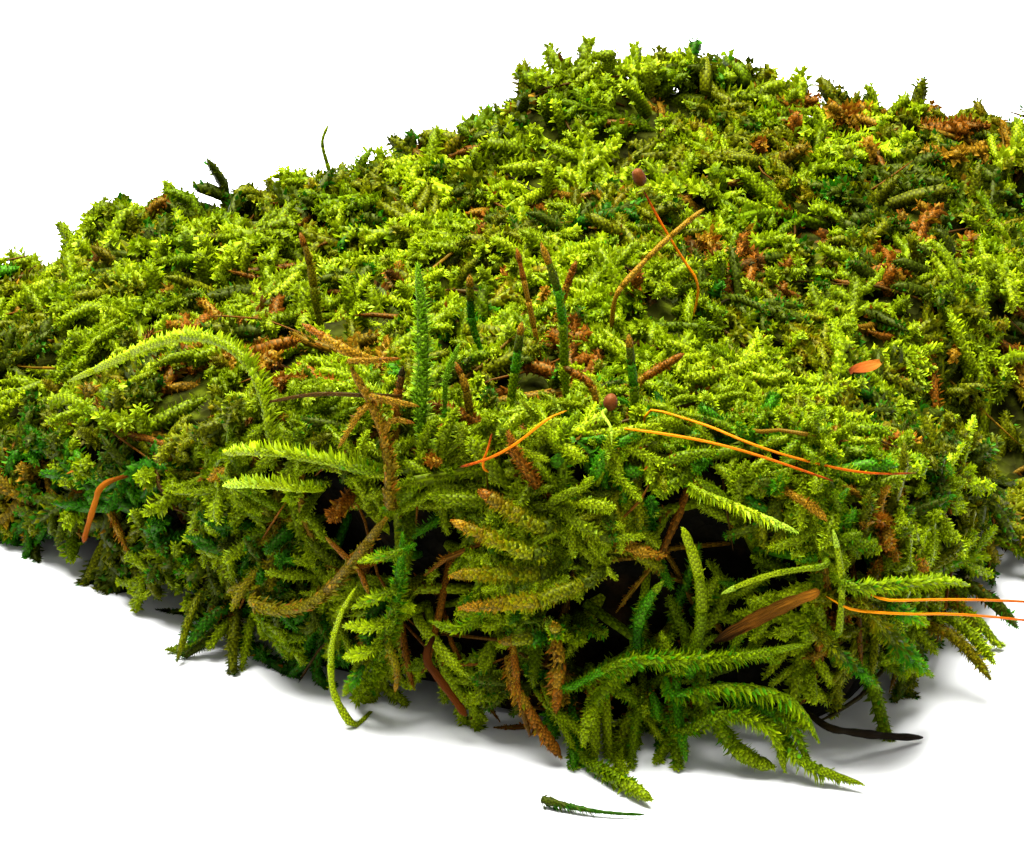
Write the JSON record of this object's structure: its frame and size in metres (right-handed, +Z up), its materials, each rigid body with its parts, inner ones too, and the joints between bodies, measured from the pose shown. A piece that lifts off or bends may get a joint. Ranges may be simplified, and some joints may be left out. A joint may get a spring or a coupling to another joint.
{
  "type": "moss clump",
  "caption": "Thick clump of creeping feather moss cut flat underneath, with leafy shoots, dead stems, fruiting stalks and bits of litter standing out of its front corner.",
  "frame": {"origin": "on the ground, under the middle of the clump's whole box", "axes": "+Z up, +X to the right along the clump's length, -Y towards its thick front corner"},
  "size_m": [0.1486, 0.1082, 0.0395],
  "materials": {
    "living_moss": "damp green moss leaves, soft satin",
    "pale_moss": "pale yellow-green young moss shoots, soft satin",
    "dead_moss": "dry brown moss stems, matt",
    "fruit_stalk": "wiry orange-brown stalk, glossy",
    "bark": "fibrous red-brown bark, matt",
    "needle": "dry orange needle, satin",
    "dark_wood": "blackened twig, satin",
    "leaf_scrap": "dry red-brown leaf, matt"
  },
  "bodies": {
    "root": {"moss_mat": "living_moss", "feather_stem": "living_moss", "feather_branch_1": "living_moss", "feather_branch_2": "living_moss", "arched_shoot": "living_moss", "lying_shoot_1": "living_moss", "upright_shoot": "living_moss", "upright_branch": "living_moss", "curled_shoot": "living_moss", "cup_shoot": "living_moss", "fork_shoot": "living_moss", "reaching_shoot": "living_moss", "low_shoot": "living_moss", "tassel_1": "living_moss", "tassel_2": "living_moss", "tassel_3": "living_moss", "fallen_sprig": "living_moss", "feather_branch_3": "pale_moss", "feather_branch_4": "pale_moss", "feather_branch_5": "pale_moss", "loop_whip": "pale_moss", "lying_shoot_2": "pale_moss", "front_finger": "pale_moss", "bud_shoot": "pale_moss", "twisted_shoot": "pale_moss", "pale_shoot": "pale_moss", "cross_whip": "pale_moss", "right_whip": "pale_moss", "braided_shoot": "pale_moss", "finger_1": "pale_moss", "finger_2": "pale_moss", "finger_3": "pale_moss", "finger_4": "pale_moss", "dead_stem_lower": "dead_moss", "dead_stem_upper": "dead_moss", "dead_stem_tip": "dead_moss", "dead_twig_1": "dead_moss", "dead_twig_2": "dead_moss", "dead_twig_3": "dead_moss", "dead_twig_4": "dead_moss", "hanging_brown_shoot": "dead_moss", "foot_stem": "dead_moss", "dark_tip_1": "dead_moss", "dark_tip_2": "dead_moss", "dark_tip_3": "dead_moss", "brown_spike": "dead_moss", "brown_stalk_1": "dead_moss", "brown_stalk_2": "dead_moss", "seta_1": "fruit_stalk", "seta_2": "fruit_stalk", "seta_3": "fruit_stalk", "seta_4": "fruit_stalk", "seta_5": "fruit_stalk", "capsule_seta": "fruit_stalk", "capsule": "fruit_stalk", "bark_twig": "bark", "sunk_needle": "bark", "orange_needle": "needle", "black_stick": "dark_wood", "red_leaf": "leaf_scrap"}
  },
  "joints": []
}
